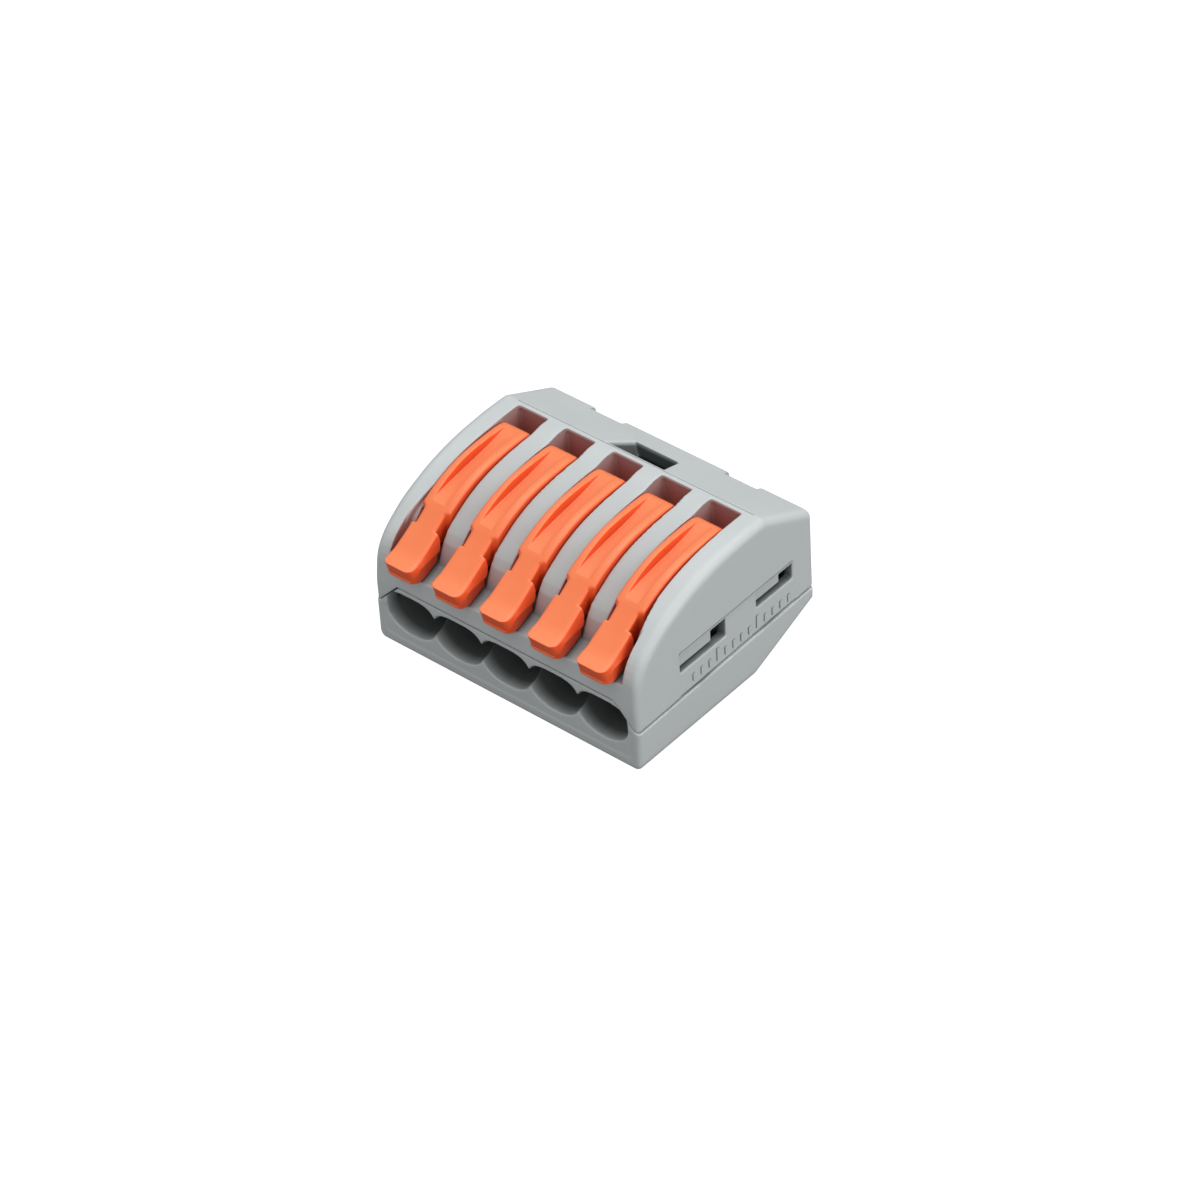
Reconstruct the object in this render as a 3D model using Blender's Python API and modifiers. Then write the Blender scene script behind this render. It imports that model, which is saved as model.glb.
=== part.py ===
"""Five-way lever wire connector, as the separate pieces it is put together from.

Run with: blender --background --python part.py

Sizes are in millimetres. X runs across the five wire entries, "depth" runs back
from the front face of the housing and "height" runs up from its base. An outline
is a list of (first, second, handle) points; AUTO points are joined by smooth
curves and VECTOR points are corners.
"""
import math

import bmesh
import bpy
from mathutils import Matrix, Vector

MM = 0.001
COLLECTION = "lever_wire_connector"

# Housing, outside
POLES = 5
PITCH = 5.0
WIDTH = 27.7
UPPER_WIDTH = 27.5
DEPTH = 22.2
HEIGHT = 14.9
CREASE_DEPTH = 16.5
ROOF_REAR_HEIGHT = 12.15
SEAM_FRONT = 4.08
SEAM_REAR = 4.52
SEAM_GAP = 0.14
ENTRY_TOP = 6.34
CHAMFER_DEPTH = 14.7
CHAMFER_HEIGHT = 2.87
DRAFT = 0.012
FRONT_RADIUS = 0.45
ARC_RADIUS = 0.8
ROOF_RADIUS = 0.7
FOOT_RADIUS = 0.5
BASE_RADIUS = 0.9
CORNER_RADIUS = 0.35
WIDEST_RADIUS = 1.0
ROUNDING_SEGMENTS = 6
FIT = 0.1

# Lever slots, cheeks and shelf
SLOT_WIDTH = 3.12
SLOT_REAR = 16.05
SLOT_FLOOR = 9.5
WELL_FRONT = 8.8
SHELF_FRONT_HEIGHT = 8.2
CHEEK_INNER = PITCH * (POLES - 1) / 2 + SLOT_WIDTH / 2
FINGER_RELIEF = 12.12

# Levers
LEVER_WIDTH = 2.9
TAB_WIDTH = 3.35
TIP_OVERHANG = 1.25
PIVOT_DEPTH = 12.6
PIVOT_HEIGHT = 11.6
TRUNNION_RADIUS = 1.0
TRUNNION_REACH = 2.05
TROUGH_WIDTH = 1.9

# Inside
CHAMBER_WIDTH = 3.5
CHAMBER_TOP = 10.3
BAR_BOTTOM = 5.7
BAR_TOP = 6.5
BAR_HALF_LENGTH = 11.5
TONGUE_WIDTH = 2.0
SPRING_WIDTH = 3.2
SPRING_THICKNESS = 0.4
GUIDE_REAR = 8.5
FLOOR = 1.0
TRAY_HALF_WIDTH = 11.75

# Latches
TAB_INNER = 11.85
TAB_OUTER = 12.65
HOOK_REACH = 13.2
SIDE_WINDOWS = ((5.4, 11.1, 6.65), (15.0, 19.6, 6.9))
SIDE_WINDOW_TOP = 8.7
SIDE_TABS = ((5.5, 9.8), (15.1, 18.4))
REAR_LATCH_X = 7.0
REAR_CHANNEL_WIDTH = 3.4
REAR_CHANNEL_FRONT = 21.4

# The lever tips stand in front of the housing, so the middle of the whole part
# lies a little in front of the middle of the housing.
FRONT_Y = (TIP_OVERHANG - DEPTH) / 2

# Local axes of an outline, as world directions: (first, second, extruded)
SIDE_VIEW = Matrix(((0, 0, 1), (1, 0, 0), (0, 1, 0))).to_4x4()
FRONT_VIEW = Matrix(((1, 0, 0), (0, 0, -1), (0, 1, 0))).to_4x4()
TOP_VIEW = Matrix.Identity(4)


def pole_positions():
    return [(index - (POLES - 1) / 2) * PITCH for index in range(POLES)]


def place(x, depth, height):
    """World position, in metres, of a point given across, back and up."""
    return Vector((x * MM, (depth + FRONT_Y) * MM, height * MM))


def corners(points):
    return [(first, second, "VECTOR") for first, second in points]


def curved(points):
    return [(first, second, "AUTO") for first, second in points]


# ---------------------------------------------------------------- tools

def new_object(name, mesh, collection):
    piece = bpy.data.objects.new(name, mesh)
    collection.objects.link(piece)
    return piece


def mesh_of(piece):
    """A copy of the piece's mesh with its modifiers applied."""
    graph = bpy.context.evaluated_depsgraph_get()
    graph.update()
    return bpy.data.meshes.new_from_object(piece.evaluated_get(graph))


def extruded(name, outline, view, low, high, resolution=5):
    """A flat outline, given in one view, made solid from low to high along that view."""
    curve = bpy.data.curves.new(name, "CURVE")
    curve.dimensions = "2D"
    curve.fill_mode = "BOTH"
    curve.resolution_u = resolution
    curve.extrude = (high - low) / 2 * MM
    spline = curve.splines.new("BEZIER")
    spline.bezier_points.add(len(outline) - 1)
    for control, (first, second, handle) in zip(spline.bezier_points, outline):
        control.co = (first * MM, second * MM, 0)
        control.handle_left_type = handle
        control.handle_right_type = handle
    spline.use_cyclic_u = True
    flat = new_object(name + "_outline", curve, bpy.context.scene.collection)
    middle = (low + high) / 2
    if view is SIDE_VIEW:
        offset = place(middle, 0, 0)
    elif view is FRONT_VIEW:
        offset = place(0, middle, 0)
    else:
        offset = place(0, 0, middle)
    flat.matrix_world = Matrix.Translation(offset) @ view
    mesh = mesh_of(flat)
    mesh.name = name
    mesh.transform(flat.matrix_world)
    bpy.data.objects.remove(flat)
    solid = bmesh.new()
    solid.from_mesh(mesh)
    bmesh.ops.remove_doubles(solid, verts=solid.verts, dist=1e-7)
    bmesh.ops.dissolve_limit(solid, angle_limit=math.radians(0.1), verts=solid.verts,
                             edges=solid.edges)
    bmesh.ops.recalc_face_normals(solid, faces=solid.faces)
    solid.to_mesh(mesh)
    solid.free()
    return new_object(name, mesh, CUTTERS)


def box(name, x_range, depth_range, height_range):
    mesh = bpy.data.meshes.new(name)
    solid = bmesh.new()
    bmesh.ops.create_cube(solid, size=1)
    low = place(x_range[0], depth_range[0], height_range[0])
    high = place(x_range[1], depth_range[1], height_range[1])
    size = high - low
    bmesh.ops.scale(solid, vec=size, verts=solid.verts)
    bmesh.ops.translate(solid, vec=(low + high) / 2, verts=solid.verts)
    solid.to_mesh(mesh)
    solid.free()
    return new_object(name, mesh, CUTTERS)


def cross_pin(name, x_range, depth, height, radius, segments=24):
    """A round bar along X."""
    mesh = bpy.data.meshes.new(name)
    solid = bmesh.new()
    middle = Matrix.Translation(place(sum(x_range) / 2, depth, height))
    bmesh.ops.create_cone(
        solid, cap_ends=True, segments=segments, radius1=radius * MM, radius2=radius * MM,
        depth=(x_range[1] - x_range[0]) * MM, matrix=middle @ Matrix.Rotation(math.pi / 2, 4, "Y"))
    solid.to_mesh(mesh)
    solid.free()
    return new_object(name, mesh, CUTTERS)


def loft(name, x, sections, segments=28):
    """A closed tube through rounded sections.

    A section is (depth, half width, half height, squareness above, squareness below, height);
    a squareness of 2 is round and larger values fill the corners.
    """
    mesh = bpy.data.meshes.new(name)
    solid = bmesh.new()
    rings = []
    for depth, half_width, half_height, above, below, height in sections:
        ring = []
        for step in range(segments):
            angle = 2 * math.pi * step / segments
            squareness = above if angle < math.pi else below
            across = math.copysign(abs(math.cos(angle)) ** (2 / squareness), math.cos(angle))
            up = math.copysign(abs(math.sin(angle)) ** (2 / squareness), math.sin(angle))
            point = place(x + half_width * across, depth, height + half_height * up)
            ring.append(solid.verts.new(point))
        rings.append(ring)
    for ring, following in zip(rings, rings[1:]):
        for step in range(segments):
            after = (step + 1) % segments
            solid.faces.new((ring[step], ring[after], following[after], following[step]))
    solid.faces.new(rings[0])
    solid.faces.new(rings[-1])
    bmesh.ops.recalc_face_normals(solid, faces=solid.faces)
    solid.to_mesh(mesh)
    solid.free()
    return new_object(name, mesh, CUTTERS)


def combine(target, other, operation):
    modifier = target.modifiers.new(operation.lower() + "_" + other.name, "BOOLEAN")
    modifier.operation = operation
    modifier.solver = "EXACT"
    modifier.object = other
    other.hide_render = True
    other.display_type = "WIRE"


def cut(target, *others):
    for other in others:
        combine(target, other, "DIFFERENCE")


def join(target, *others):
    for other in others:
        combine(target, other, "UNION")


def round_edges(piece, radius_of):
    """Round each edge of a blank by the radius that radius_of gives for its two ends."""
    weights = piece.data.attributes.new("bevel_weight_edge", "FLOAT", "EDGE")
    for edge in piece.data.edges:
        ends = [piece.data.vertices[index].co / MM - Vector((0, FRONT_Y, 0))
                for index in edge.vertices]
        weights.data[edge.index].value = radius_of(*ends) / WIDEST_RADIUS
    bevel = piece.modifiers.new("rounding", "BEVEL")
    bevel.limit_method = "WEIGHT"
    bevel.width = WIDEST_RADIUS * MM
    bevel.segments = ROUNDING_SEGMENTS
    bevel.use_clamp_overlap = False


def seam_height(depth):
    return SEAM_FRONT + (SEAM_REAR - SEAM_FRONT) * depth / DEPTH


def lean_sides(piece, width):
    """Lean the two side faces inwards as they leave the seam, as a moulding needs."""
    for vertex in piece.data.vertices:
        away = abs(vertex.co.z / MM - SEAM_FRONT)
        vertex.co.x = math.copysign(width / 2 - DRAFT * away, vertex.co.x) * MM


def along_seam(first, second, offset):
    return all(abs(end.z - seam_height(end.y) - offset) < 0.02 for end in (first, second))


def upper_radius(first, second):
    """Rounding of the upper blank: wide over the arc and the roof, smaller in front and behind."""
    middle = (first + second) / 2
    if first.x * second.x < 0:
        return CORNER_RADIUS if middle.y > DEPTH - 0.1 and middle.z > ROOF_REAR_HEIGHT - 0.1 else 0
    if along_seam(first, second, SEAM_GAP / 2):
        return 0
    if middle.y > DEPTH - 0.1:
        return CORNER_RADIUS
    up_the_front = min(1, max(0, (middle.z - 7) / 4))
    towards_roof = min(1, max(0, (middle.y - 8) / 6))
    over_arc = FRONT_RADIUS + (ARC_RADIUS - FRONT_RADIUS) * up_the_front
    return over_arc + (ROOF_RADIUS - ARC_RADIUS) * towards_roof


def lower_radius(first, second):
    """Rounding of the lower blank: wide along its base, smaller up its corners."""
    middle = (first + second) / 2
    if along_seam(first, second, -SEAM_GAP / 2):
        return 0
    if middle.y < 0.1:
        return FRONT_RADIUS if middle.z > 0.1 else FOOT_RADIUS
    if first.x * second.x < 0:
        return 0
    return BASE_RADIUS if middle.y < DEPTH - 0.1 else CORNER_RADIUS


def publish(piece, name, material, parts):
    """Turn a finished working solid into a named piece of the connector."""
    piece.name = name
    CUTTERS.objects.unlink(piece)
    parts.objects.link(piece)
    piece.data.materials.clear()
    piece.data.materials.append(material)
    return piece


def surface(name, colour, roughness, metallic=0.0):
    material = bpy.data.materials.new(name)
    material.use_nodes = True
    shader = material.node_tree.nodes["Principled BSDF"]
    shader.inputs["Base Color"].default_value = (*colour, 1)
    shader.inputs["Roughness"].default_value = roughness
    shader.inputs["Metallic"].default_value = metallic
    return material


# ---------------------------------------------------------------- outlines

def cheek_outline():
    """Side view of the upper housing: upright front, long arc, flat crown and sloping roof."""
    front = corners([(0.0, seam_height(0) + SEAM_GAP / 2)])
    arc = curved([(0.0, 6.9), (0.55, 9.7), (2.6, 11.85), (5.4, 13.35), (8.8, 14.42)])
    crown = [(13.2, HEIGHT, "AUTO")]
    rear = corners([(CREASE_DEPTH, HEIGHT), (DEPTH, ROOF_REAR_HEIGHT),
                    (DEPTH, seam_height(DEPTH) + SEAM_GAP / 2)])
    return front + arc + crown + rear


def above_partitions_outline():
    """Side view of the space cut away between the cheeks, above the shelf and the partitions."""
    shelf = corners([(-1.0, 7.81), (0.0, SHELF_FRONT_HEIGHT), (1.95, 8.95)])
    feet = curved([(2.15, 9.45), (2.7, 10.75), (3.35, 11.6), (4.55, 12.52), (7.0, 13.75),
                   (10.0, 14.45)])
    rest = corners([(14.0, 14.72), (15.0, HEIGHT + 0.02), (15.0, 17.0), (-1.0, 17.0)])
    return shelf + feet + rest


def tab_relief_outline():
    """Side view of the shallow relief in each cheek that the outer levers' tabs swing through."""
    return corners([(-1.0, 7.85), (0.0, 8.24), (1.97, 9.0), (2.2, 9.5), (2.75, 10.8), (3.4, 11.7),
                    (3.4, 16.0), (-1.0, 16.0)])


def finger_relief_outline():
    """Side view of the wider, shallower relief beside it, which lets a fingertip reach the tabs."""
    return corners([(-1.0, 8.0), (0.15, 8.9), (0.75, 9.4), (1.6, 10.0), (2.12, 10.5), (2.5, 11.2),
                    (3.0, 12.05), (3.0, 17.0), (-1.0, 17.0)])


def slot_outline():
    """Side view of a lever slot: a floor behind the shelf, then a well open to the clamp below."""
    return corners([
        (1.8, 9.0), (2.4, 9.0), (3.2, SLOT_FLOOR), (WELL_FRONT, SLOT_FLOOR), (WELL_FRONT, 8.0),
        (SLOT_REAR, 8.0), (SLOT_REAR, 17.0), (1.8, 17.0)])


def lever_outline():
    """Side view of a lever's arm, with its hub and the cam that presses on the clamp."""
    underside = corners([(1.75, 10.05), (2.6, 10.2), (11.2, 10.2)])
    cam = curved([(12.6, 10.1), (14.0, 10.28), (15.4, 10.65), (15.85, 11.5), (15.3, 12.25)])
    rear_end = curved([(14.35, 12.9), (14.15, 13.7), (13.75, 14.45), (12.9, 14.8)])
    back = curved([(10.0, 14.75), (8.0, 14.5), (6.0, 13.92), (4.3, 13.1), (3.0, 12.18)])
    front = corners([(1.75, 11.38)])
    return underside + cam + rear_end + back + front


def tab_outline():
    """Side view of the thumb tab, which is wider than the slot and follows the partitions' feet."""
    thumb = curved([(2.7, 11.98), (1.4, 11.17), (0.0, 10.41), (-0.35, 10.24)])
    tip = corners([(-1.0, 10.08), (-TIP_OVERHANG, 9.9), (-0.97, 8.75), (-0.85, 8.6), (0.0, 8.45)])
    underside = corners([(1.35, 8.95), (1.9, 9.25), (2.15, 10.0), (2.42, 10.7), (2.45, 11.1),
                         (2.55, 11.55)])
    return thumb + tip + underside


def spring_line(steps=8):
    """Middle line of a clamp spring: contact limb, rear bow, upper limb and window limb."""
    low, high, bow_depth = 6.85, 9.75, 14.3
    bow_radius = (high - low) / 2
    bend_radius = 0.5
    window_limb = 9.4
    line = [(11.2, low)]
    for step in range(steps + 1):
        angle = -math.pi / 2 + math.pi * step / steps
        line.append((bow_depth + bow_radius * math.cos(angle),
                     low + bow_radius * (1 + math.sin(angle))))
    for step in range(steps // 2 + 1):
        angle = math.pi / 2 + math.pi / 2 * step / (steps // 2)
        line.append((window_limb + bend_radius * (1 + math.cos(angle)),
                     high - bend_radius * (1 - math.sin(angle))))
    line.append((window_limb, 4.9))
    return line


def bar_outline():
    """Top view of the current bar: one strip with a tongue to each clamp."""
    strip_front, strip_rear, tongue_front = 14.6, 18.8, 8.95
    points = [(BAR_HALF_LENGTH, strip_front), (BAR_HALF_LENGTH, strip_rear),
              (-BAR_HALF_LENGTH, strip_rear), (-BAR_HALF_LENGTH, strip_front)]
    for x in pole_positions():
        half = TONGUE_WIDTH / 2
        points += [(x - half, strip_front), (x - half, tongue_front),
                   (x + half, tongue_front), (x + half, strip_front)]
    return corners(points)


def entry_outline(gap=0.0, base=3.1):
    """Front view of the raised part of the seam round the wire entries."""
    foot = seam_height(0) - SEAM_GAP / 2
    return corners([(-13.0 - gap, base), (-13.45 - gap, foot), (-11.2 - gap, ENTRY_TOP + gap),
                    (11.2 + gap, ENTRY_TOP + gap), (13.45 + gap, foot), (13.0 + gap, base)])


def footprint_outline():
    """Top view of the lower housing's front end, with its rounded corners."""
    half, rear, steps = WIDTH / 2, 5.0, 6
    arc = []
    for step in range(steps + 1):
        angle = math.pi / 2 * step / steps
        arc.append((half - FRONT_RADIUS * (1 - math.sin(angle)), FRONT_RADIUS * (1 - math.cos(angle))))
    left = [(-x, depth) for x, depth in reversed(arc)]
    return corners([(-half, rear)] + left + arc + [(half, rear)])


# ---------------------------------------------------------------- pieces

def make_upper_housing(material, parts):
    housing = extruded("upper_blank", cheek_outline(), SIDE_VIEW, -UPPER_WIDTH / 2,
                       UPPER_WIDTH / 2)
    lean_sides(housing, UPPER_WIDTH)
    round_edges(housing, upper_radius)
    relief = pole_positions()[-1] + TAB_WIDTH / 2 + FIT
    cut(housing,
        extruded("above_partitions", above_partitions_outline(), SIDE_VIEW, -CHEEK_INNER, CHEEK_INNER),
        extruded("tab_relief", tab_relief_outline(), SIDE_VIEW, -relief, relief),
        extruded("finger_relief", finger_relief_outline(), SIDE_VIEW, -FINGER_RELIEF, FINGER_RELIEF))
    for number, x in enumerate(pole_positions(), start=1):
        half_slot = SLOT_WIDTH / 2
        chamber_x = (x - CHAMBER_WIDTH / 2, x + CHAMBER_WIDTH / 2)
        core = corners([(16.9, 3.0), (16.9, 13.1), (19.6, 11.8), (19.6, 3.0)])
        cut(housing,
            extruded(f"slot_{number}", slot_outline(), SIDE_VIEW, x - half_slot, x + half_slot),
            box(f"chamber_{number}", chamber_x, (WELL_FRONT - 0.1, SLOT_REAR + 0.1),
                (3.0, CHAMBER_TOP)),
            extruded(f"rear_core_{number}", core, SIDE_VIEW, *chamber_x),
            cross_pin(f"bearing_{number}", (x - TRUNNION_REACH - FIT, x + TRUNNION_REACH + FIT),
                      PIVOT_DEPTH, PIVOT_HEIGHT, TRUNNION_RADIUS + FIT / 2))
    cut(housing,
        box("bar_channel", (-BAR_HALF_LENGTH - FIT, BAR_HALF_LENGTH + FIT), (14.4, 19.0),
            (2.8, BAR_TOP + FIT)),
        extruded("entry_notch", entry_outline(gap=FIT), FRONT_VIEW, -1.0, 1.4),
        box("guide_pocket", (-11.6, 11.6), (1.0, WELL_FRONT + 0.2), (2.8, ENTRY_TOP)))
    for side in (-1, 1):
        pocket_x = sorted((side * (TAB_INNER - 0.15), side * (TAB_OUTER + FIT)))
        window_x = sorted((side * (TAB_OUTER - 0.2), side * (WIDTH / 2 + 1)))
        for (tab_front, tab_rear), (front, rear, base) in zip(SIDE_TABS, SIDE_WINDOWS):
            cut(housing,
                box("tab_pocket", pocket_x, (tab_front - 0.3, tab_rear + 1.4), (3.0, 9.35)),
                box("side_window", window_x, (front, rear), (base, SIDE_WINDOW_TOP)))
        channel_x = (side * REAR_LATCH_X - REAR_CHANNEL_WIDTH / 2,
                     side * REAR_LATCH_X + REAR_CHANNEL_WIDTH / 2)
        catch_x = (channel_x[0] + 0.1, channel_x[1] - 0.1)
        cut(housing,
            box("rear_channel", channel_x, (REAR_CHANNEL_FRONT, DEPTH + 1), (3.0, HEIGHT + 1)),
            box("rear_catch", catch_x, (20.8, REAR_CHANNEL_FRONT + 0.2), (7.3, 9.0)))
    cut(housing, *test_slot())
    return publish(housing, "upper_housing", material, parts)


def test_slot():
    """A funnel in the sloping roof and a narrow hole below it, for a test probe to reach the bar."""
    low, high = 12.6, 17.0
    funnel = box("test_funnel", (-4.3, 4.25), (15.55, 20.6), (low, high))
    inside = place(0.35, 18.4, 0)
    for vertex in funnel.data.vertices:
        if vertex.co.z < (low + high) / 2 * MM:
            vertex.co.x = inside.x + (vertex.co.x - inside.x) * 0.42
            vertex.co.y = inside.y + (vertex.co.y - inside.y) * 0.28
    return funnel, box("test_hole", (-1.45, 1.7), (17.75, 19.0), (11.0, 14.0))


def tab_section(hook_base):
    """Section of a snap tab, as (across, height), with a hook that catches in its side window."""
    return [(TAB_INNER, 2.0), (TAB_INNER, 9.1), (TAB_OUTER, 9.1), (TAB_OUTER, 8.62),
            (HOOK_REACH, 8.5), (HOOK_REACH, hook_base), (TAB_OUTER, hook_base), (TAB_OUTER, 2.0)]


def make_lower_housing(material, parts):
    profile = corners([(0, seam_height(0) - SEAM_GAP / 2), (0, 0), (CHAMFER_DEPTH, 0),
                       (DEPTH, CHAMFER_HEIGHT), (DEPTH, seam_height(DEPTH) - SEAM_GAP / 2)])
    housing = extruded("lower_blank", profile, SIDE_VIEW, -WIDTH / 2, WIDTH / 2)
    lean_sides(housing, WIDTH)
    round_edges(housing, lower_radius)
    tray = corners([(8.3, FLOOR), (14.5, FLOOR), (20.9, 3.45), (20.9, 6.0), (8.3, 6.0)])
    cut(housing, extruded("tray", tray, SIDE_VIEW, -TRAY_HALF_WIDTH, TRAY_HALF_WIDTH))
    plate = extruded("entry_plate", entry_outline(), FRONT_VIEW, -0.5, 1.3)
    combine(plate, extruded("entry_corners", footprint_outline(), TOP_VIEW, 1.0, 8.0), "INTERSECT")
    join(housing,
         box("guide_block", (-11.3, 11.3), (0.3, GUIDE_REAR), (0.6, ENTRY_TOP - FIT)),
         plate)
    rib_top = BAR_BOTTOM - FIT
    rib = corners([(8.2, 0.5), (14.5, 0.5), (20.0, 2.7), (20.0, 4.2), (18.6, 4.2), (18.6, rib_top),
                   (15.0, rib_top), (15.0, 4.2), (8.2, 4.2)])
    for gap_number, x in enumerate(pole_positions()[:-1], start=1):
        middle = x + PITCH / 2
        join(housing, extruded(f"rib_{gap_number}", rib, SIDE_VIEW, middle - 0.55, middle + 0.55))
    for side in (-1, 1):
        for (front, rear), (_, _, window_base) in zip(SIDE_TABS, SIDE_WINDOWS):
            hook = tab_section(window_base + 0.15)
            outline = corners([(side * x, height) for x, height in hook])
            join(housing, extruded("side_tab", outline, FRONT_VIEW, front, rear))
        latch = corners([(21.5, 3.4), (21.5, 7.4), (21.0, 7.5), (21.0, 7.95), (21.5, 8.8),
                         (21.5, 9.2), (22.1, 9.2), (22.1, 3.4)])
        latch_x = (side * REAR_LATCH_X - 1.5, side * REAR_LATCH_X + 1.5)
        join(housing, extruded("rear_latch", latch, SIDE_VIEW, *latch_x))
    for number, x in enumerate(pole_positions(), start=1):
        cut(housing, wire_entry(number, x))
    return publish(housing, "lower_housing", material, parts)


def wire_entry(number, x):
    """A wide mouth that narrows to the insulation bore and then to the conductor hole."""
    bore, conductor = 2.1, 1.45
    mouth = [(-1.0, 2.75, 2.05, 3.2, 2.2, 3.88), (0.0, 2.62, 1.98, 3.2, 2.2, 3.9),
             (1.4, 2.5, 1.98, 2.8, 2.1, 3.95), (3.6, 2.2, 2.0, 2.2, 2.0, 4.02)]
    straight = [(5.0, bore, 2.0, 2.0, 2.0, 4.05), (7.4, bore, 2.0, 2.0, 2.0, 4.1)]
    hole = [(8.0, conductor, conductor, 2.0, 2.0, 4.2), (9.5, conductor, conductor, 2.0, 2.0, 4.2)]
    return loft(f"wire_entry_{number}", x, mouth + straight + hole)


def lever_mesh():
    """One lever at the middle pole."""
    half_arm, half_tab = LEVER_WIDTH / 2, TAB_WIDTH / 2
    arm = extruded("lever_arm", lever_outline(), SIDE_VIEW, -half_arm, half_arm)
    join(arm,
         extruded("lever_tab", tab_outline(), SIDE_VIEW, -half_tab, half_tab),
         cross_pin("trunnions", (-TRUNNION_REACH, TRUNNION_REACH), PIVOT_DEPTH, PIVOT_HEIGHT,
                   TRUNNION_RADIUS))
    trough = corners([(4.6, 13.2), (6.6, 13.8), (9.0, 14.1), (11.4, 14.35), (13.3, 14.7),
                      (13.3, 16.0), (4.6, 16.0)])
    cut(arm, extruded("finger_trough", trough, SIDE_VIEW, -TROUGH_WIDTH / 2, TROUGH_WIDTH / 2))
    return mesh_of(arm)


def spring_mesh():
    """One clamp spring at the middle pole, with the window that the bar's tongue passes through."""
    mesh = bpy.data.meshes.new("spring_strip")
    strip = bmesh.new()
    start = [strip.verts.new(place(-SPRING_WIDTH / 2, depth, height)) for depth, height in spring_line()]
    edges = [strip.edges.new(pair) for pair in zip(start, start[1:])]
    grown = bmesh.ops.extrude_edge_only(strip, edges=edges)["geom"]
    moved = [item for item in grown if isinstance(item, bmesh.types.BMVert)]
    bmesh.ops.translate(strip, vec=(SPRING_WIDTH * MM, 0, 0), verts=moved)
    strip.to_mesh(mesh)
    strip.free()
    spring = new_object("spring_blank", mesh, CUTTERS)
    thickness = spring.modifiers.new("thickness", "SOLIDIFY")
    thickness.thickness = SPRING_THICKNESS * MM
    thickness.offset = 0
    thickness.use_even_offset = True
    cut(spring, box("spring_window", (-1.15, 1.15), (8.9, 9.8), (BAR_BOTTOM - 0.1, 8.4)))
    return mesh_of(spring)


def place_copies(name, mesh, depth, height, material, parts):
    """One copy of a mesh made at the middle pole, at each pole, turning about the given point."""
    origin = place(0, depth, height)
    mesh.transform(Matrix.Translation(-origin))
    mesh.materials.clear()
    mesh.materials.append(material)
    for number, x in enumerate(pole_positions(), start=1):
        copy = new_object(f"{name}_{number}", mesh, parts)
        copy.location = origin + Vector((x * MM, 0, 0))


def make_current_bar(material, parts):
    bar = extruded("bar", bar_outline(), TOP_VIEW, BAR_BOTTOM, BAR_TOP)
    return publish(bar, "current_bar", material, parts)


def shade(piece, angle=35):
    piece.data.shade_smooth()
    piece.data.set_sharp_from_angle(angle=math.radians(angle))


for leftover in list(bpy.data.objects):
    bpy.data.objects.remove(leftover)

PARTS = bpy.data.collections.new(COLLECTION)
CUTTERS = bpy.data.collections.new("cutters")
bpy.context.scene.collection.children.link(PARTS)
bpy.context.scene.collection.children.link(CUTTERS)

grey = surface("grey_plastic", (0.36, 0.39, 0.40), 0.45)
orange = surface("orange_plastic", (0.88, 0.17, 0.055), 0.35)
steel = surface("spring_steel", (0.62, 0.62, 0.60), 0.28, metallic=1.0)
copper = surface("tinned_copper", (0.72, 0.66, 0.58), 0.35, metallic=1.0)

make_upper_housing(grey, PARTS)
make_lower_housing(grey, PARTS)
make_current_bar(copper, PARTS)
place_copies("lever", lever_mesh(), PIVOT_DEPTH, PIVOT_HEIGHT, orange, PARTS)
place_copies("clamp_spring", spring_mesh(), 14.3, 8.3, steel, PARTS)
for part in PARTS.objects:
    shade(part)
for cutter in CUTTERS.objects:
    cutter.hide_render = True
    cutter.display_type = "WIRE"
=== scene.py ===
"""Looks for the five-way lever wire connector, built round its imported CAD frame.

Lengths are in millimetres unless a name says otherwise. "Depth" runs back from the
front face of the housing and "height" up from its base, as in the CAD. Pieces are
made at a thousand times their size, because a voxel remesh can't go below 0.1 mm
in metres, and are shrunk to metres when they are done.
"""
import math

import bmesh
import bpy
from mathutils import Matrix, Vector
from mathutils.geometry import interpolate_bezier


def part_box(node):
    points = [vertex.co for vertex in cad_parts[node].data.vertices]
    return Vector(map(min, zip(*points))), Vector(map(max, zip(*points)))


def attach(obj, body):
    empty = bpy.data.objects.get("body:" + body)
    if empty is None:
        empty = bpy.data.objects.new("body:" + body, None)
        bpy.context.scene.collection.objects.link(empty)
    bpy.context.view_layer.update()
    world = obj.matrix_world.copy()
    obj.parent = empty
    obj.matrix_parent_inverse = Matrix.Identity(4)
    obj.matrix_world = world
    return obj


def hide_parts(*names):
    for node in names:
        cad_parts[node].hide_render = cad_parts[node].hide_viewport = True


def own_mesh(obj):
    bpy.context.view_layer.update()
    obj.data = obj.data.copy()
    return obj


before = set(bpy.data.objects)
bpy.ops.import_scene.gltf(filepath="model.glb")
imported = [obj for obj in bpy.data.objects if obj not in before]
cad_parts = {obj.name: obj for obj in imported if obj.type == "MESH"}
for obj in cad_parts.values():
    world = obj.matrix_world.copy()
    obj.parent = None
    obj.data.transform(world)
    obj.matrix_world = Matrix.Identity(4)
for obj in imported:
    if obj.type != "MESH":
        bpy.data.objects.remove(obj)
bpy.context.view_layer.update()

MM = 0.001
POLES = 5
HOUSING_LOW, HOUSING_HIGH = (corner / MM for corner in map(Vector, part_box("lower_housing")))
FRONT_Y = HOUSING_LOW.y
HALF_WIDTH = HOUSING_HIGH.x
DEPTH = HOUSING_HIGH.y - HOUSING_LOW.y
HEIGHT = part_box("upper_housing")[1][2] / MM

# Places on the upper housing that its shape and its colours share
SHELF_TOP = 9.0
ROOF_CREASE, ROOF_FALL = 16.5, 0.4825
SLOTS_REAR, SLOTS_EDGE = 16.05, 11.6

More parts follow.
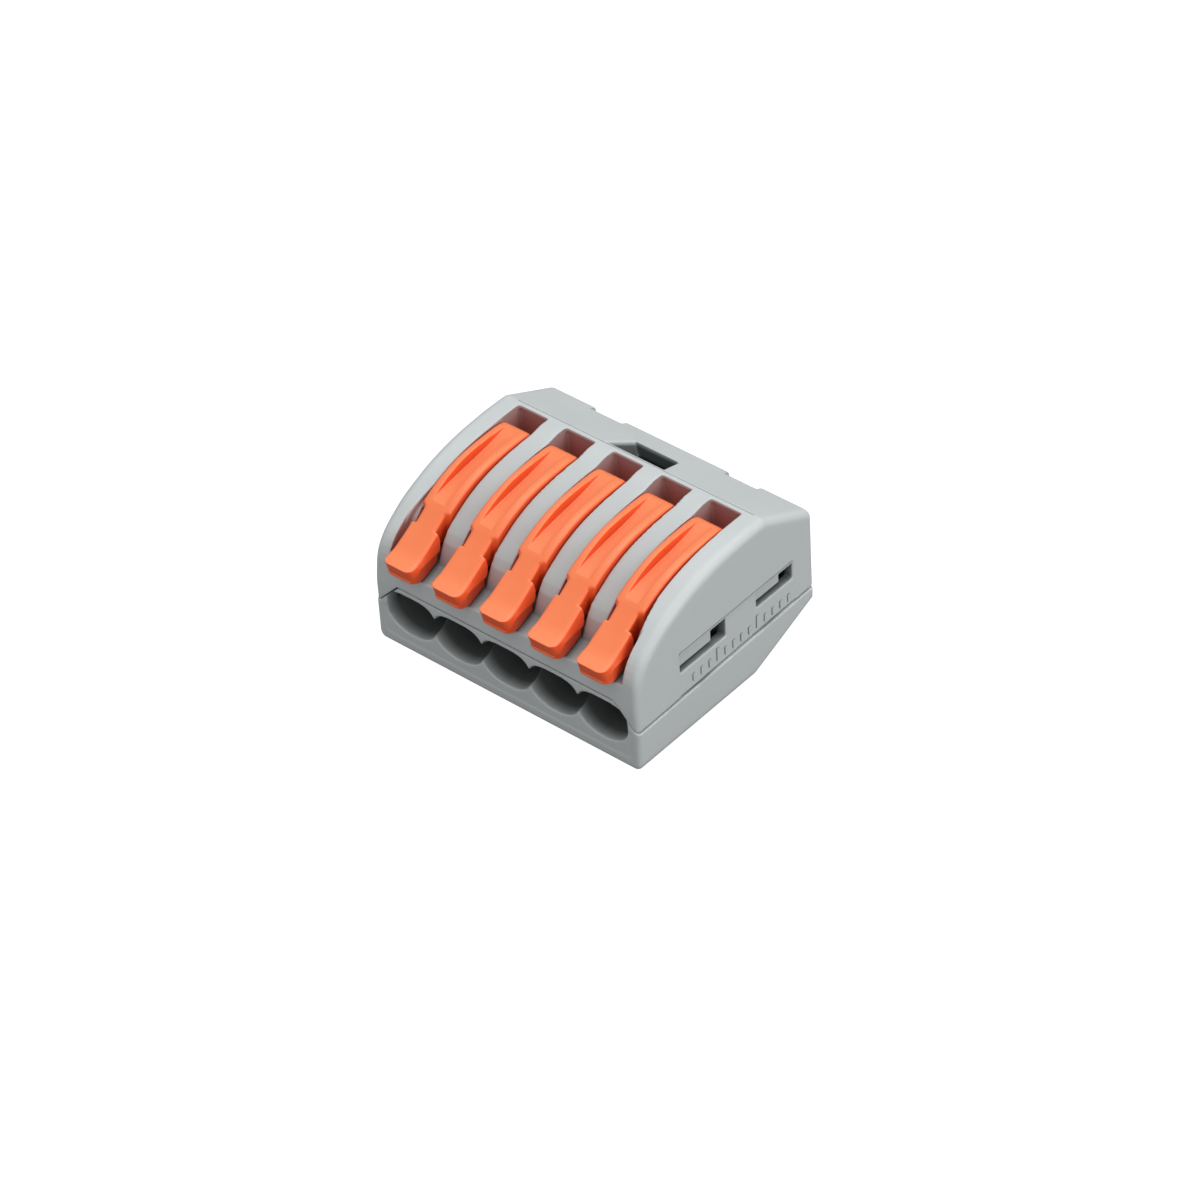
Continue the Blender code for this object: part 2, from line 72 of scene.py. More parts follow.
# Moulding detail: voxel sizes, smoothing steps and the share of the faces that is kept
VOXEL_HOUSING = 0.08
VOXEL_LEVER = 0.045
SOFTENING = 5
HOUSING_KEEP = 0.3
LEVER_KEEP = 0.3


def lever_x(number):
    low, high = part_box(f"lever_{number}")
    return (low[0] + high[0]) / 2 / MM


def place(x, depth, height):
    """Workshop position of a point given across, back and up."""
    return Vector((x, depth + FRONT_Y, height))


# ---------------------------------------------------------------- modelling tools

def make_object(name, mesh):
    piece = bpy.data.objects.new(name, mesh)
    bpy.context.scene.collection.objects.link(piece)
    return piece


def evaluated_mesh(piece):
    graph = bpy.context.evaluated_depsgraph_get()
    graph.update()
    return bpy.data.meshes.new_from_object(piece.evaluated_get(graph))


def solid_from(name, rings):
    """A closed solid through rings of the same number of points."""
    mesh = bpy.data.meshes.new(name)
    solid = bmesh.new()
    made = [[solid.verts.new(point) for point in ring] for ring in rings]
    for ring, following in zip(made, made[1:]):
        for index in range(len(ring)):
            after = (index + 1) % len(ring)
            solid.faces.new((ring[index], ring[after], following[after], following[index]))
    solid.faces.new(made[0])
    solid.faces.new(made[-1])
    bmesh.ops.recalc_face_normals(solid, faces=solid.faces)
    solid.to_mesh(mesh)
    solid.free()
    return make_object(name, mesh)


def prism(name, outline, x_low, x_high):
    """A side view outline of (depth, height) points, made solid from x_low to x_high."""
    return solid_from(name, [[place(x, *point) for point in outline] for x in (x_low, x_high)])


def block(name, x_range, depth_range, height_range):
    (front, rear), (low, high) = depth_range, height_range
    return prism(name, [(front, low), (rear, low), (rear, high), (front, high)], *x_range)


def smooth_line(points, steps=6):
    """Points along a smooth curve through the given ones."""
    points = [Vector((*point, 0)) for point in points]
    ends = [points[0] * 2 - points[1], *points, points[-1] * 2 - points[-2]]
    line = []
    for before, start, end, after in zip(ends, ends[1:], ends[2:], ends[3:]):
        leaving = start + (end - before) / 6
        arriving = end - (after - start) / 6
        line += interpolate_bezier(start, leaving, arriving, end, steps + 1)[:-1]
    line.append(points[-1])
    return [(point.x, point.y) for point in line]


def along(points, position):
    """Height of a line of (position, height) points at a position, straight between them."""
    for (start, low), (end, high) in zip(points, points[1:]):
        if position <= end:
            share = max(0, (position - start) / (end - start))
            return low + (high - low) * share
    return points[-1][1]


def rounded_ring(corners, radii, depth, steps=5, widest=0.48):
    """A cross-section at one depth: (across, height) corners, each rounded by its own radius.

    No rounding takes up more than the widest share of a side.
    """
    corners = [Vector(corner) for corner in corners]
    ring = []
    for index, (corner, radius) in enumerate(zip(corners, radii)):
        towards = [corners[index - 1] - corner, corners[(index + 1) % len(corners)] - corner]
        start, end = (corner + side.normalized() * min(radius, side.length * widest)
                      for side in towards)
        for step in range(steps + 1):
            share = step / steps
            point = start * (1 - share) ** 2 + corner * 2 * share * (1 - share) + end * share ** 2
            ring.append(place(point.x, depth, point.y))
    return ring


def mirrored(half):
    """A ring's corners from its right half, listed from top to bottom."""
    return half + [(-across, height) for across, height in reversed(half)]


def cut(piece, *cutters):
    for cutter in cutters:
        modifier = piece.modifiers.new("cut_" + cutter.name, "BOOLEAN")
        modifier.operation = "DIFFERENCE"
        modifier.solver = "EXACT"
        modifier.object = cutter
    mesh = evaluated_mesh(piece)
    piece.modifiers.clear()
    piece.data = mesh
    for cutter in cutters:
        bpy.data.objects.remove(cutter)


def joined(name, *pieces):
    """One object that holds all the pieces' faces; the remesh fuses them where they overlap."""
    whole = bmesh.new()
    for piece in pieces:
        whole.from_mesh(piece.data)
        bpy.data.objects.remove(piece)
    mesh = bpy.data.meshes.new(name)
    whole.to_mesh(mesh)
    whole.free()
    return make_object(name, mesh)


def moulded(piece, voxel, keep):
    """The mesh of a workshop solid, back in metres, with every edge softened as in a moulding."""
    coarser = 1
    remesh = piece.modifiers.new("remesh", "REMESH")
    remesh.mode = "VOXEL"
    remesh.voxel_size = voxel * coarser
    soften = piece.modifiers.new("soften", "SMOOTH")
    soften.iterations = SOFTENING
    thin = piece.modifiers.new("thin", "DECIMATE")
    thin.ratio = keep
    mesh = evaluated_mesh(piece)
    bpy.data.objects.remove(piece)
    mesh.transform(Matrix.Scale(MM, 4))
    mesh.shade_smooth()
    mesh.materials.clear()
    return mesh


def add_details(mesh, details):
    """Add crisp workshop solids, with their sharp edges, to a finished mesh."""
    whole = bmesh.new()
    whole.from_mesh(mesh)
    for detail in details:
        detail.data.transform(Matrix.Scale(MM, 4))
        whole.from_mesh(detail.data)
        bpy.data.objects.remove(detail)
    whole.to_mesh(mesh)
    whole.free()


def add_piece(name, mesh, material, body, node, x=0.0):
    """Put a finished mesh in the scene as a visible piece in place of a CAD node."""
    if not mesh.materials:
        mesh.materials.append(material)
    piece = make_object(name, mesh)
    piece.location.x = x * MM
    bpy.context.view_layer.update()
    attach(piece, body)
    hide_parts(node)
    return piece


def cad_copy(node):
    """A workshop copy of a CAD node's solid."""
    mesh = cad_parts[node].data.copy()
    mesh.transform(Matrix.Scale(1 / MM, 4))
    solid = bmesh.new()
    solid.from_mesh(mesh)
    bmesh.ops.remove_doubles(solid, verts=solid.verts, dist=0.0001)
    solid.to_mesh(mesh)
    solid.free()
    return make_object(node + "_copy", mesh)


# ---------------------------------------------------------------- materials

def add_node(tree, kind, settings=None, **inputs):
    """A shader node, with its properties and its inputs set or linked.

    An underscore in an input's name stands for a space.
    """
    node = tree.nodes.new(kind)
    for key, value in (settings or {}).items():
        setattr(node, key, value)
    for key, value in inputs.items():
        socket = node.inputs[key.replace("_", " ")]
        if isinstance(value, bpy.types.NodeSocket):
            tree.links.new(value, socket)
        else:
            socket.default_value = value
    return node


def new_material(name):
    material = bpy.data.materials.new(name)
    material.use_nodes = True
    tree = material.node_tree
    shader = tree.nodes["Principled BSDF"]
    where = add_node(tree, "ShaderNodeTexCoord").outputs["Object"]
    return material, tree, shader, where


def noise(tree, where, size, detail=2.0, roughness=0.5):
    """Noise with features of about the given size."""
    node = add_node(tree, "ShaderNodeTexNoise", Vector=where, Scale=1 / (size * MM),
                    Detail=detail, Roughness=roughness)
    return node.outputs[0]


def spread(tree, value, low, high, to_low, to_high):
    """A value's range from low to high, stretched over another range and held at its ends."""
    return add_node(tree, "ShaderNodeMapRange", Value=value, From_Min=low, From_Max=high,
                    To_Min=to_low, To_Max=to_high).outputs["Result"]


def mixed(tree, factor, first, second):
    """Two colours mixed by a factor; either may be a socket."""
    node = add_node(tree, "ShaderNodeMix", {"data_type": "RGBA"})
    factor_input, first_colour, second_colour, colour_output = 0, 6, 7, 2
    for index, value in ((factor_input, factor), (first_colour, first), (second_colour, second)):
        if isinstance(value, bpy.types.NodeSocket):
            tree.links.new(value, node.inputs[index])
        else:
            node.inputs[index].default_value = value
    return node.outputs[colour_output]


def in_recess(tree, reach, opened, closed, alone=False):
    """0 on open surfaces, rising to 1 where most directions are blocked within reach (in mm)."""
    openness = add_node(tree, "ShaderNodeAmbientOcclusion", {"samples": 12, "only_local": alone},
                        Distance=reach * MM)
    return spread(tree, openness.outputs["AO"], opened, closed, 0, 1)


def measured(tree, where, axis):
    """Distance along an axis of the piece at rest, in mm: across from the middle, back or up."""
    value = add_node(tree, "ShaderNodeSeparateXYZ", Vector=where).outputs[axis]
    scaled = add_node(tree, "ShaderNodeMath", {"operation": "MULTIPLY_ADD"})
    tree.links.new(value, scaled.inputs[0])
    scaled.inputs[1].default_value = 1 / MM
    scaled.inputs[2].default_value = -FRONT_Y if axis == "Y" else 0
    if axis != "X":
        return scaled.outputs[0]
    across = add_node(tree, "ShaderNodeMath", {"operation": "ABSOLUTE"})
    tree.links.new(scaled.outputs[0], across.inputs[0])
    return across.outputs[0]


def product(tree, first, *others):
    """All the given sockets multiplied together."""
    for other in others:
        times = add_node(tree, "ShaderNodeMath", {"operation": "MULTIPLY"})
        tree.links.new(first, times.inputs[0])
        tree.links.new(other, times.inputs[1])
        first = times.outputs[0]
    return first


def in_slots(tree, where):
    """In front of the crease and above the shelf, where painted shade takes the levers' painted
    reflection.
    """
    depth, height = measured(tree, where, "Y"), measured(tree, where, "Z")
    return product(tree, spread(tree, height, SHELF_TOP, SHELF_TOP + 1, 0, 1),
                   spread(tree, depth, ROOF_CREASE - 0.15, ROOF_CREASE - 0.05, 1, 0))


def shade_between_levers(tree, where):
    """Painted shade on the partitions, most of all where they slope down to the shelf."""
    across, depth = measured(tree, where, "X"), measured(tree, where, "Y")
    return product(tree, in_slots(tree, where),
                   spread(tree, across, SLOTS_EDGE - 0.1, SLOTS_EDGE + 0.1, 1, 0),
                   spread(tree, depth, 15.0, 6.0, 0, 1))


def shade_on_slot_walls(tree, where):
    """Painted shade on the upright walls at the slots' rear ends, which see little but the levers."""
    across, depth = measured(tree, where, "X"), measured(tree, where, "Y")
    return product(tree, in_slots(tree, where), steepness(tree),
                   spread(tree, across, SLOTS_EDGE + 0.1, SLOTS_EDGE + 0.3, 1, 0),
                   spread(tree, depth, 13.0, 14.2, 0, 1),
                   spread(tree, depth, SLOTS_REAR - 0.09, SLOTS_REAR - 0.01, 1, 0))


def shade_below_roof(tree, where):
    """Painted shade on the walls of the test slot, darker the deeper they lie under the sloping roof.

    It has no limit towards the rear, so it also takes in the outer rear wall behind the slot.
    """
    half_width, lit_rim, dark_from = 4.4, 0.1, 0.45
    across, depth = measured(tree, where, "X"), measured(tree, where, "Y")
    levelled = add_node(tree, "ShaderNodeMath", {"operation": "MULTIPLY_ADD"})
    tree.links.new(depth, levelled.inputs[0])
    levelled.inputs[1].default_value = ROOF_FALL
    tree.links.new(measured(tree, where, "Z"), levelled.inputs[2])
    roof = HEIGHT + ROOF_FALL * ROOF_CREASE
    return product(tree, spread(tree, across, half_width, half_width + 0.1, 1, 0),
                   spread(tree, depth, ROOF_CREASE - 0.1, ROOF_CREASE, 0, 1),
                   spread(tree, levelled.outputs[0], roof - lit_rim, roof - dark_from, 0, 1))


def shade_inside_tray(tree, where):
    """Painted shade on everything behind the entries' rims, above the floor and within the outer
    walls.

    It has no limit towards the rear, so it also takes in the tray's outer rear face.
    """
    wall, rim, full, floor, strongest = 12.7, 0.12, 1.3, 0.5, 0.85
    across, depth, height = (measured(tree, where, axis) for axis in "XYZ")
    return product(tree, spread(tree, across, wall, wall + 0.2, strongest, 0),
                   spread(tree, depth, rim, full, 0, 1),
                   spread(tree, height, floor, floor + 0.2, 0, 1))


def steepness(tree):
    """0 where the piece at rest faces up and 1 on its upright faces."""
    facing = add_node(tree, "ShaderNodeTexCoord").outputs["Normal"]
    upward = add_node(tree, "ShaderNodeSeparateXYZ", Vector=facing).outputs["Z"]
    return spread(tree, upward, 0.95, 0.25, 0, 1)


def plastic(name, tones, recess_shades, recess, roughness, grain_size, grain_depth, glow=0.0, zones=()):
    """Moulded plastic: slow tone changes, a fine grain, darker recesses and a few pale scuffs.

    The tones are the main, the deeper and the scuffed colour, and the painted shade of the
    upright faces. Recesses take painted shade: the first colour, or the second above the shelf
    that the levers cover, which on the housing is tinted as a painted reflection of the levers;
    recess is for in_recess. Each zone is a function that finds where it paints shade, and that
    shade's colour.
    """
    colour, deep, scuffed, upright_shade = tones
    patch_size, scuff_size, gloss_size = 6.0, 0.7, 1.6
    material, tree, shader, where = new_material(name)
    slow = spread(tree, noise(tree, where, patch_size, detail=3), 0.35, 0.65, 0, 1)
    tone = mixed(tree, slow, (*deep, 1), (*colour, 1))
    # Upright faces take a painted shade, darker than the tops and on the levers a deeper orange
    tone = mixed(tree, steepness(tree), tone, (*upright_shade, 1))
    # Each zone paints shade over the tone in its own colour
    for zone, zone_colour in zones:
        tone = mixed(tree, zone(tree, where), tone, (*zone_colour, 1))
    # Painted shade in recesses; in the slots the housing's is tinted as a painted reflection of the
    # levers
    shade = mixed(tree, in_slots(tree, where), (*recess_shades[0], 1), (*recess_shades[1], 1))
    tone = mixed(tree, in_recess(tree, *recess), tone, shade)
    scratchy = noise(tree, where, scuff_size, detail=6, roughness=0.7)
    scuffs = spread(tree, scratchy, 0.68, 0.76, 0, 0.7)
    tree.links.new(mixed(tree, scuffs, tone, (*scuffed, 1)), shader.inputs["Base Color"])
    uneven = noise(tree, where, gloss_size, detail=4)
    gloss = spread(tree, uneven, 0.3, 0.7, roughness - 0.06, roughness + 0.06)
    tree.links.new(gloss, shader.inputs["Roughness"])
    grain = noise(tree, where, grain_size, detail=2)
    bump = add_node(tree, "ShaderNodeBump", Height=grain, Strength=0.5, Distance=grain_depth * MM)
    tree.links.new(bump.outputs["Normal"], shader.inputs["Normal"])
    if glow:
        shader.inputs["Subsurface Weight"].default_value = glow
        shader.inputs["Subsurface Radius"].default_value = (1.0, 0.35, 0.15)
        shader.inputs["Subsurface Scale"].default_value = 0.5 * MM
    return material


def metal(name, colour, stain, roughness, grain):
    """Rolled strip: streaks, which grain stretches along its length, and a light uneven stain."""
    streak_size, stain_size, streak_depth = 0.08, 1.5, 0.004
    material, tree, shader, where = new_material(name)
    stretched = add_node(tree, "ShaderNodeMapping", Vector=where, Scale=grain).outputs["Vector"]
    streaks = noise(tree, stretched, streak_size, detail=3)
    tone = mixed(tree, noise(tree, where, stain_size, detail=3), (*colour, 1), (*stain, 1))
    tree.links.new(tone, shader.inputs["Base Color"])
    gloss = spread(tree, streaks, 0.3, 0.7, roughness - 0.08, roughness + 0.1)
    tree.links.new(gloss, shader.inputs["Roughness"])
    bump = add_node(tree, "ShaderNodeBump", Height=streaks, Strength=0.3,
                    Distance=streak_depth * MM)
    tree.links.new(bump.outputs["Normal"], shader.inputs["Normal"])
    shader.inputs["Metallic"].default_value = 1.0
    return material


# ---------------------------------------------------------------- housings

SIDE_FACE = HALF_WIDTH - 0.13
PANEL_FRONT, PANEL_REAR, PANEL_TOP, PANEL_STEP = 5.3, 19.9, 8.7, 0.05


def make_upper_housing(material):
    housing = cad_copy("upper_housing")
    details = [roof_crease()]
    cutters = under_lips()
    for side in (-1, 1):
        face = side * (SIDE_FACE - PANEL_STEP)
        x_range = sorted((face, side * (HALF_WIDTH + 1)))
        cutters.append(block("panel", x_range, (PANEL_FRONT, PANEL_REAR), (2.0, PANEL_TOP)))
        details += strip_gauge(side, face) + [flash_ridge(side, face)]
        cutters.append(finger_relief(side))
    cut(housing, *cutters)
    mesh = moulded(housing, VOXEL_HOUSING, HOUSING_KEEP)
    add_details(mesh, details)
    return add_piece("upper_housing_shell", mesh, material, "housing", "upper_housing")


def roof_crease():
    """The fine line where the flat roof starts to slope, a hair above the surface."""
    return block("roof_crease", (-12.0, 12.4), (ROOF_CREASE - 0.06, ROOF_CREASE + 0.02),
                 (HEIGHT - 0.3, HEIGHT + 0.008))


def under_lips():
    """Cutters that leave a thin lip at the top of each slot's rear wall."""
    slot_half, lip_height, lip_reach = 1.56, 0.42, 0.22
    cutters = []
    for number in range(1, POLES + 1):
        middle = lever_x(number)
        cutters.append(block("under_lip", (middle - slot_half, middle + slot_half),
                             (SLOTS_REAR - 0.5, SLOTS_REAR + lip_reach), (11.0, HEIGHT - lip_height)))
    return cutters


def finger_relief(side, steps=12):
    """The hollow in a cheek beside the outer tab, which narrows to nothing along the arc."""
    floor = smooth_line([(0.0, 8.24), (1.0, 8.63), (1.97, 9.05), (2.2, 9.55), (2.75, 10.8),
                         (3.35, 11.6), (4.55, 12.52), (7.0, 13.75)])
    above = 17.0
    rings = []
    for x, rear in ((11.4, 6.2), (11.56, 5.6), (11.8, 4.0), (12.0, 2.9), (12.13, 1.6)):
        outline = [(-1.0, along(floor, 0.0) - 0.39)]
        for step in range(steps + 1):
            depth = rear * step / steps
            outline.append((depth, along(floor, depth)))
        outline += [(rear, above), (-1.0, above)]
        rings.append([place(side * x, *point) for point in outline])
    return solid_from("finger_relief", rings)


def strip_gauge(side, face):
    """Raised marks a millimetre apart on a side face, with a longer one at each fifth."""
    first, last, base, stroke = 7, 19, 4.95, 0.26
    usual, longer, rooted, proud = 0.75, 1.25, 0.3, 0.09
    x_range = sorted((face - side * rooted, face + side * proud))
    marks = []
    for depth in range(first, last + 1):
        top = base + (longer if depth % 5 == 0 else usual)
        marks.append(block("mark", x_range, (depth - stroke / 2, depth + stroke / 2), (base, top)))
    return marks


def flash_ridge(side, face):
    """The thin ridge left by the side core, along the top of the panel and of both windows."""
    rooted, proud, width = 0.3, 0.07, 0.08
    x_range = sorted((face - side * rooted, face + side * (PANEL_STEP + proud)))
    return block("flash", x_range, (PANEL_FRONT, PANEL_REAR - 0.3), (PANEL_TOP, PANEL_TOP + width))


def front_panel():
    """The shallow step round the flat part of the front, below the seam."""
    half, foot, top, step = 13.05, 1.05, 3.9, 0.05
    outline = mirrored([(half, top), (half, foot)])
    radii = (0.1, 0.9, 0.9, 0.1)
    rings = [rounded_ring(outline, radii, depth) for depth in (-1.0, step)]
    return solid_from("front_panel", rings)


def make_lower_housing(material):
    housing = cad_copy("lower_housing")
    entry_half, entry_top, seam = 11.2, 6.34, 0.07
    cut(housing, block("seam", (-entry_half, entry_half), (-1.0, 1.4), (entry_top - seam, 8.0)),
        front_panel())
    mesh = moulded(housing, VOXEL_HOUSING, HOUSING_KEEP)
    return add_piece("lower_housing_tray", mesh, material, "housing", "lower_housing")


# ---------------------------------------------------------------- levers

ARM_HALF, NECK_HALF, TRUNNION_RADIUS, TRUNNION_REACH = 1.45, 1.07, 1.0, 2.05
PIVOT = (12.6, 11.6)
PAD_REAR = 0.35
TOP_LINE = smooth_line([(PAD_REAR, 10.59), (1.0, 10.95), (2.0, 11.54), (3.0, 12.2), (4.3, 13.1),
                        (6.0, 13.93), (8.0, 14.52), (10.0, 14.76), (12.5, 14.82), (13.6, 14.7),
                        (14.15, 14.35), (14.4, 13.8)])


def corner_inset(distance, radius):
    """How far a rounded corner draws a side in, at a distance from the corner's end."""
    away = max(0, radius - distance)
    return radius - math.sqrt(max(0, radius ** 2 - away ** 2))


def arm_half_width(depth):
    neck_end, arm_start, rear, rear_radius = 3.7, 3.95, 14.4, 0.6
    if depth <= neck_end:
        return NECK_HALF
    share = min(1, (depth - neck_end) / (arm_start - neck_end))
    return NECK_HALF + (ARM_HALF - NECK_HALF) * share - corner_inset(rear - depth, rear_radius)


def stations(*runs):
    """Depths for the rings of a solid, from runs of (first, spacing, number)."""
    return [first + spacing * index for first, spacing, number in runs for index in range(number)]


def lever_arm():
    under, top_radius, under_radius = 10.2, 0.35, 0.1
    radii = (top_radius, under_radius, under_radius, top_radius)
    depths = stations((1.6, 0.3, 7), (3.7, 0.05, 6), (4.1, 0.3, 30), (13.0, 0.1, 14), (14.37, 0, 1))
    rings = []
    for depth in depths:
        half, top = arm_half_width(depth), along(TOP_LINE, depth)
        corners = mirrored([(half, top), (half, under)])
        rings.append(rounded_ring(corners, radii, depth))
    arm = solid_from("lever_arm", rings)
    cut(arm, finger_trough())
    return arm


def finger_trough(steps=14):
    """What is scooped out of the arm's top, deepest at the middle of its length."""
    front, rear, deepest, half_floor, half_top, above = 4.2, 13.5, 0.74, 0.66, 0.8, 17.0
    rings = []
    for step in range(steps + 1):
        share = step / steps
        depth = front + (rear - front) * share
        floor = along(TOP_LINE, depth) - deepest * (1 - (2 * share - 1) ** 2) + 0.01
        half = [(half_top, above), (half_top, floor + 0.7), (half_floor, floor)]
        rings.append([place(x, depth, height) for x, height in mirrored(half)])
    return solid_from("finger_trough", rings)


def lever_hub():
    """The hub under the arm's rear end, with the cam that presses on the clamp."""
    cam = smooth_line([(11.2, 10.2), (12.6, 10.1), (14.0, 10.28), (15.4, 10.65), (15.85, 11.5),
                       (15.3, 12.25), (14.5, 12.9), (14.25, 13.6)])
    hub = prism("lever_hub", [(9.4, 13.2), (9.4, 10.2)] + cam, -1.42, 1.42)
    steps = 32
    circle = []
    for step in range(steps):
        angle = 2 * math.pi * step / steps
        circle.append((PIVOT[0] + TRUNNION_RADIUS * math.cos(angle),
                       PIVOT[1] + TRUNNION_RADIUS * math.sin(angle)))
    return hub, prism("trunnions", circle, -TRUNNION_REACH, TRUNNION_REACH)


def thumb_tab():
    """The tab in front: an upper block with leaning sides on a narrower foot."""
    pad = [(-1.7, 9.96), (-1.08, 10.1), (-0.8, 10.17), (-0.2, 10.34)] + TOP_LINE
    parting = [(-1.7, 8.86), (-0.87, 8.86), (-0.6, 9.22), (-0.3, 9.55), (0.1, 9.8), (1.0, 9.98),
               (2.2, 10.1), (2.4, 10.55), (2.44, 11.2), (2.46, 11.4)]
    upper = []
    depths = stations((-1.7, 0.1, 14), (-0.3, 0.2, 3), (0.25, 0.1, 3), (0.7, 0.3, 1), (1.0, 0.2, 6),
                      (2.1, 0.04, 10))
    rear, top_radius, half_low, widest_flare = 2.5, 0.22, 1.63, 0.08
    for depth in depths:
        top, low = along(pad, depth) - corner_inset(rear - depth, top_radius), along(parting, depth)
        flare = widest_flare * min(1, max(0, (0.1 - depth) / 0.4))
        half_top = 1.36 + flare
        corners = mirrored([(half_top, top), (half_low, low), (half_low - 0.05, low - 0.02)])
        upper.append(rounded_ring(corners, (top_radius, 0.04, 0.02, 0.02, 0.04, top_radius), depth))
    bottom = [(-0.98, 8.66), (-0.85, 8.58), (0.0, 8.4), (0.5, 8.52), (1.06, 8.76), (1.4, 8.92),
              (1.75, 9.1), (2.05, 9.2)]
    join = [(-0.98, 8.78), (-0.85, 8.8), (-0.8, 8.8), (-0.7, 9.3), (0.1, 9.9), (2.05, 10.2)]
    foot_front, foot_radius = -0.98, 0.65
    foot = []
    for depth in (foot_front, -0.94, -0.85, -0.7, -0.5, -0.2, 0.2, 0.6, 1.0, 1.4, 1.8, 2.05):
        low, high = along(bottom, depth), along(join, depth)
        inset = corner_inset(depth - foot_front, foot_radius)
        corners = mirrored([(1.56 - inset, high), (1.5 - inset, low)])
        foot.append(rounded_ring(corners, (0.05, 0.12, 0.12, 0.05), depth))
    tab = solid_from("tab_block", upper)
    cut(tab, space_before_tab())
    return tab, solid_from("tab_foot", foot)


def space_before_tab(steps=6):
    """What is left in front of the tab: its face leans forward and turns round both corners."""
    radius, clear = 0.6, 3.0
    rings = []
    for height, front, half in ((8.4, -0.69, 1.7), (10.6, -1.54, 1.37)):
        arc = []
        for step in range(steps + 1):
            angle = math.pi / 2 * step / steps
            arc.append((half - radius * (1 - math.sin(angle)),
                        front + radius * (1 - math.cos(angle))))
        right = arc + [(clear, front + radius), (clear, -clear)]
        left = [(-x, depth) for x, depth in reversed(right)]
        rings.append([place(x, depth, height) for x, depth in left + right])
    return solid_from("space_before_tab", rings)


def make_levers(material):
    lever = joined("lever", lever_arm(), *lever_hub(), *thumb_tab())
    mesh = moulded(lever, VOXEL_LEVER, LEVER_KEEP)
    for number in range(1, POLES + 1):
        add_piece(f"lever_arm_{number}", mesh, material, f"lever_{number}", f"lever_{number}",
                  x=lever_x(number))


# ---------------------------------------------------------------- metal parts

SHARP_ANGLE = math.radians(40)


def spring_line(steps=16):
    """Middle line of a clamp spring: contact limb, rear bow, upper limb and window limb."""
    low, high, bow_depth, bend_radius, window_limb = 6.85, 9.75, 14.3, 0.5, 9.4
    bow_radius = (high - low) / 2
    line = [(11.2, low - 0.1), (11.5, low), (12.8, low)]
    for step in range(steps + 1):
        angle = -math.pi / 2 + math.pi * step / steps
        line.append((bow_depth + bow_radius * math.cos(angle),
                     low + bow_radius * (1 + math.sin(angle))))
    line += [(12.6, high), (11.2, high)]
    for step in range(steps // 2 + 1):
        angle = math.pi / 2 * (1 + step / (steps // 2))
        line.append((window_limb + bend_radius * (1 + math.cos(angle)),
                     high - bend_radius * (1 - math.sin(angle))))
    return line + [(window_limb, height) for height in (8.4, 7.0, 5.6, 4.9)]


def spring_strip():
    """The flat faces of one clamp spring, with the window in its front limb left open."""
    half, window_half, window, window_rear = 1.6, 1.15, (5.6, 8.4), 9.5
    across = (-half, -window_half, window_half, half)
    strip = bmesh.new()
    rows = [[strip.verts.new(place(x, *point) * MM) for x in across] for point in spring_line()]
    for row, following in zip(rows, rows[1:]):
        heights = [corner.co.z / MM for corner in (row[0], following[0])]
        opens = min(heights) >= window[0] - 0.01 and max(heights) <= window[1] + 0.01
        in_front = row[0].co.y / MM < FRONT_Y + window_rear
        for index in range(3):
            if index == 1 and opens and in_front:
                continue
            strip.faces.new((row[index], row[index + 1], following[index + 1], following[index]))
    mesh = bpy.data.meshes.new("spring_strip")
    strip.to_mesh(mesh)
    strip.free()
    return make_object("spring_blank", mesh)


def spring_mesh():
    """A spring's strip given its thickness, with broken edges."""
    blank = spring_strip()
    thickness = blank.modifiers.new("thickness", "SOLIDIFY")
    thickness.thickness = 0.38 * MM
    thickness.offset = 0
    thickness.use_even_offset = True
    edges = blank.modifiers.new("edges", "BEVEL")
    edges.width = 0.05 * MM
    edges.segments = 2
    edges.limit_method = "ANGLE"
    edges.angle_limit = math.radians(50)
    mesh = evaluated_mesh(blank)
    bpy.data.objects.remove(blank)
    mesh.shade_smooth()
    mesh.set_sharp_from_angle(angle=SHARP_ANGLE)
    return mesh


def make_springs(material):
    """The springs, one under each lever's cam, which presses it down as the lever opens; here each
    keeps a single shape.
    """
    for number in range(1, POLES + 1):
        spring = add_piece(f"spring_strip_{number}", spring_mesh(), material, "housing",
                           f"clamp_spring_{number}", x=lever_x(number))
        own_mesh(spring)


def make_bar(material):
    bar = cad_copy("current_bar")
    edges = bar.modifiers.new("edges", "BEVEL")
    edges.width = 0.08
    edges.segments = 3
    mesh = evaluated_mesh(bar)
    bpy.data.objects.remove(bar)
    mesh.transform(Matrix.Scale(MM, 4))
    mesh.shade_smooth()
    mesh.set_sharp_from_angle(angle=SHARP_ANGLE)
    mesh.materials.clear()
    add_piece("bar_strip", mesh, material, "housing", "current_bar")


# ---------------------------------------------------------------- stage

def set_up_camera():
    """The camera stands in front of the right corner, well above, and is rolled a little.

    Its distance and shifts are in millimetres, from a point on the housing's middle line.
    """
    azimuth, elevation, roll = (math.radians(angle) for angle in (41.91, 40.25, -3.10))
    distance, shift_right, shift_up, aim_height = 404.6, 0.539, -2.703, 6.926
    back = Vector((math.sin(azimuth) * math.cos(elevation),
                   -math.cos(azimuth) * math.cos(elevation), math.sin(elevation)))
    level_right = Vector((math.cos(azimuth), math.sin(azimuth), 0))
    level_up = back.cross(level_right)
    right = level_right * math.cos(roll) + level_up * math.sin(roll)
    up = level_up * math.cos(roll) - level_right * math.sin(roll)
    housing_middle = place(0, DEPTH / 2, aim_height)
    spot = housing_middle + back * distance + right * shift_right + up * shift_up
    data = bpy.data.cameras.new("camera")
    data.lens = 151.15
    data.sensor_width = 36
    data.clip_start = 0.01
    data.clip_end = 5
    camera = bpy.data.objects.new("camera", data)
    bpy.context.scene.collection.objects.link(camera)
    rotation = Matrix((right, up, back)).transposed().to_4x4()
    camera.matrix_world = Matrix.Translation(spot * MM) @ rotation
    bpy.context.scene.camera = camera


